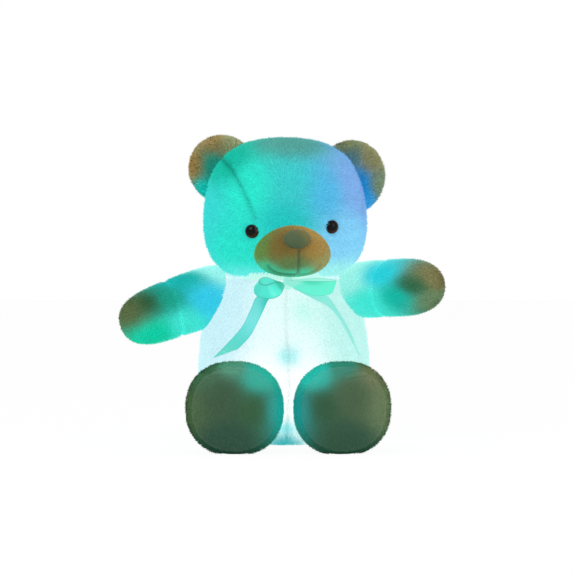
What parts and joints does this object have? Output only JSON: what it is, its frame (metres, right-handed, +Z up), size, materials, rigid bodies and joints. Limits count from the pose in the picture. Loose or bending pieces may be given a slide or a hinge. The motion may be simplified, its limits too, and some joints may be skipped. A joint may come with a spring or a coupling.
{
  "type": "plush night light",
  "caption": "Seated plush bear night light with movable stuffed head, arms and legs, a ribbon bow at the neck and a switched battery lamp behind a flap in its back.",
  "frame": {"origin": "on the ground under the middle of the body, at the flat seat", "axes": "+Z up, -Y the way the bear faces, +X to the bear's own left"},
  "size_m": [0.3188, 0.2164, 0.3055],
  "materials": {
    "plush": "short plush pile, lit from inside",
    "velvet": "very short velvet",
    "nose_cloth": "matte cloth",
    "eye_plastic": "polished",
    "satin": "satin ribbon",
    "hook_tape": "hook tape",
    "loop_tape": "loop tape",
    "white_plastic": "fine texture",
    "frosted_plastic": "frosted, lets light through",
    "plated_steel": "nickel plated",
    "cell_jacket": "bare metallic jacket, unprinted",
    "circuit_board": "solder mask",
    "cable_sleeve": "matte",
    "mint_lamp": "clear lens",
    "white_lamp": "clear lens",
    "blue_lamp": "clear lens"
  },
  "bodies": {
    "body": {"torso": "plush", "neck_ribbon": "satin", "bow_knot": "satin", "bow_loop_left": "satin", "bow_loop_right": "satin", "bow_tail_left": "satin", "bow_tail_right": "satin", "loop_strip": "loop_tape", "battery_case": "white_plastic", "battery_cover": "white_plastic", "cover_screw": "plated_steel", "battery_1": "cell_jacket", "battery_2": "cell_jacket", "battery_3": "cell_jacket", "contact_spring_1": "plated_steel", "contact_spring_2": "plated_steel", "contact_spring_3": "plated_steel", "contact_plate_1": "plated_steel", "contact_plate_2": "plated_steel", "contact_plate_3": "plated_steel", "control_board": "circuit_board", "switch_body": "plated_steel", "body_lamp_cup": "frosted_plastic", "body_lamp_board": "circuit_board", "body_led_1": "mint_lamp", "body_led_2": "white_lamp", "body_led_3": "blue_lamp", "body_lead": "cable_sleeve", "head_lead": "cable_sleeve"},
    "head": {"head": "plush", "muzzle": "velvet", "nose": "nose_cloth", "ear_left": "plush", "ear_right": "plush", "eye_left": "eye_plastic", "eye_right": "eye_plastic", "eye_washer_left": "white_plastic", "eye_washer_right": "white_plastic", "head_lamp_cup": "frosted_plastic", "head_lamp_board": "circuit_board", "head_led_1": "mint_lamp", "head_led_2": "white_lamp", "head_led_3": "blue_lamp"},
    "arm_left": {"arm_left": "plush"},
    "arm_right": {"arm_right": "plush"},
    "leg_left": {"leg_left": "plush", "sole_left": "velvet"},
    "leg_right": {"leg_right": "plush", "sole_right": "velvet"},
    "flap": {"pocket_flap": "plush", "hook_strip": "hook_tape"},
    "switch": {"switch_slider": "white_plastic"}
  },
  "joints": [
    {"name": "head_turn", "type": "hinge", "parent": "body", "child": "head", "pos_m": [0, 0, 0.17], "axis": [0, 0, 1], "range_deg": [-25, 25], "stiffness_Nm_per_rad": 0.4},
    {"name": "arm_left_swing", "type": "hinge", "parent": "body", "child": "arm_left", "pos_m": [0.06, 0, 0.151], "axis": [-0.5299, -0.848, 0], "range_deg": [-20, 10], "stiffness_Nm_per_rad": 0.35},
    {"name": "arm_right_swing", "type": "hinge", "parent": "body", "child": "arm_right", "pos_m": [-0.06, 0, 0.151], "axis": [-0.2756, 0.9613, 0], "range_deg": [-20, 10], "stiffness_Nm_per_rad": 0.35},
    {"name": "leg_left_lift", "type": "hinge", "parent": "body", "child": "leg_left", "pos_m": [0.045, -0.052, 0.038], "axis": [-0.9925, -0.1219, 0], "range_deg": [0, 25], "stiffness_Nm_per_rad": 0.4},
    {"name": "leg_right_lift", "type": "hinge", "parent": "body", "child": "leg_right", "pos_m": [-0.045, -0.052, 0.038], "axis": [-0.9998, 0.0175, 0], "range_deg": [0, 25], "stiffness_Nm_per_rad": 0.4},
    {"name": "flap_open", "type": "hinge", "parent": "body", "child": "flap", "pos_m": [0, 0.05536, 0.131], "axis": [1, 0, 0], "range_deg": [0, 105]},
    {"name": "switch_slide", "type": "slide", "parent": "body", "child": "switch", "axis": [-1, 0, 0], "range_m": [0, 0.004]}
  ]
}
